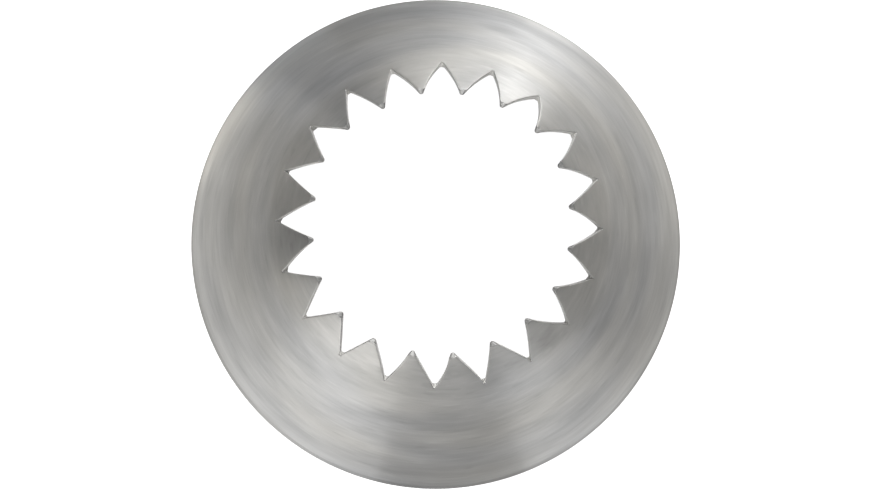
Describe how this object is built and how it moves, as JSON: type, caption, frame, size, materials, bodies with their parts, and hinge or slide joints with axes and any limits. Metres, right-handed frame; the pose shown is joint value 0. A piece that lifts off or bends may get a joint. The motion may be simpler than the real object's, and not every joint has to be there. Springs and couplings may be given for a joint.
{
  "type": "piping nozzle",
  "caption": "Open star piping nozzle: a tapered stainless sheet cone with a straight collar at the filling end and a crimped ring of pointed teeth at the mouth.",
  "frame": {"origin": "centre of the base ring, in the plane that the nozzle stands on", "axes": "+Z along the nozzle's axis, from the base ring to the star mouth; +X through the seam and the root of the notch that it runs up to"},
  "size_m": [0.035, 0.035, 0.05],
  "materials": {
    "stainless_sheet": "fine brushing round the cone, half bright",
    "weld_metal": "ground flush and brushed with the sheet, dull inside"
  },
  "bodies": {
    "root": {"nozzle_shell": "stainless_sheet", "seam_weld": "weld_metal"}
  },
  "joints": []
}
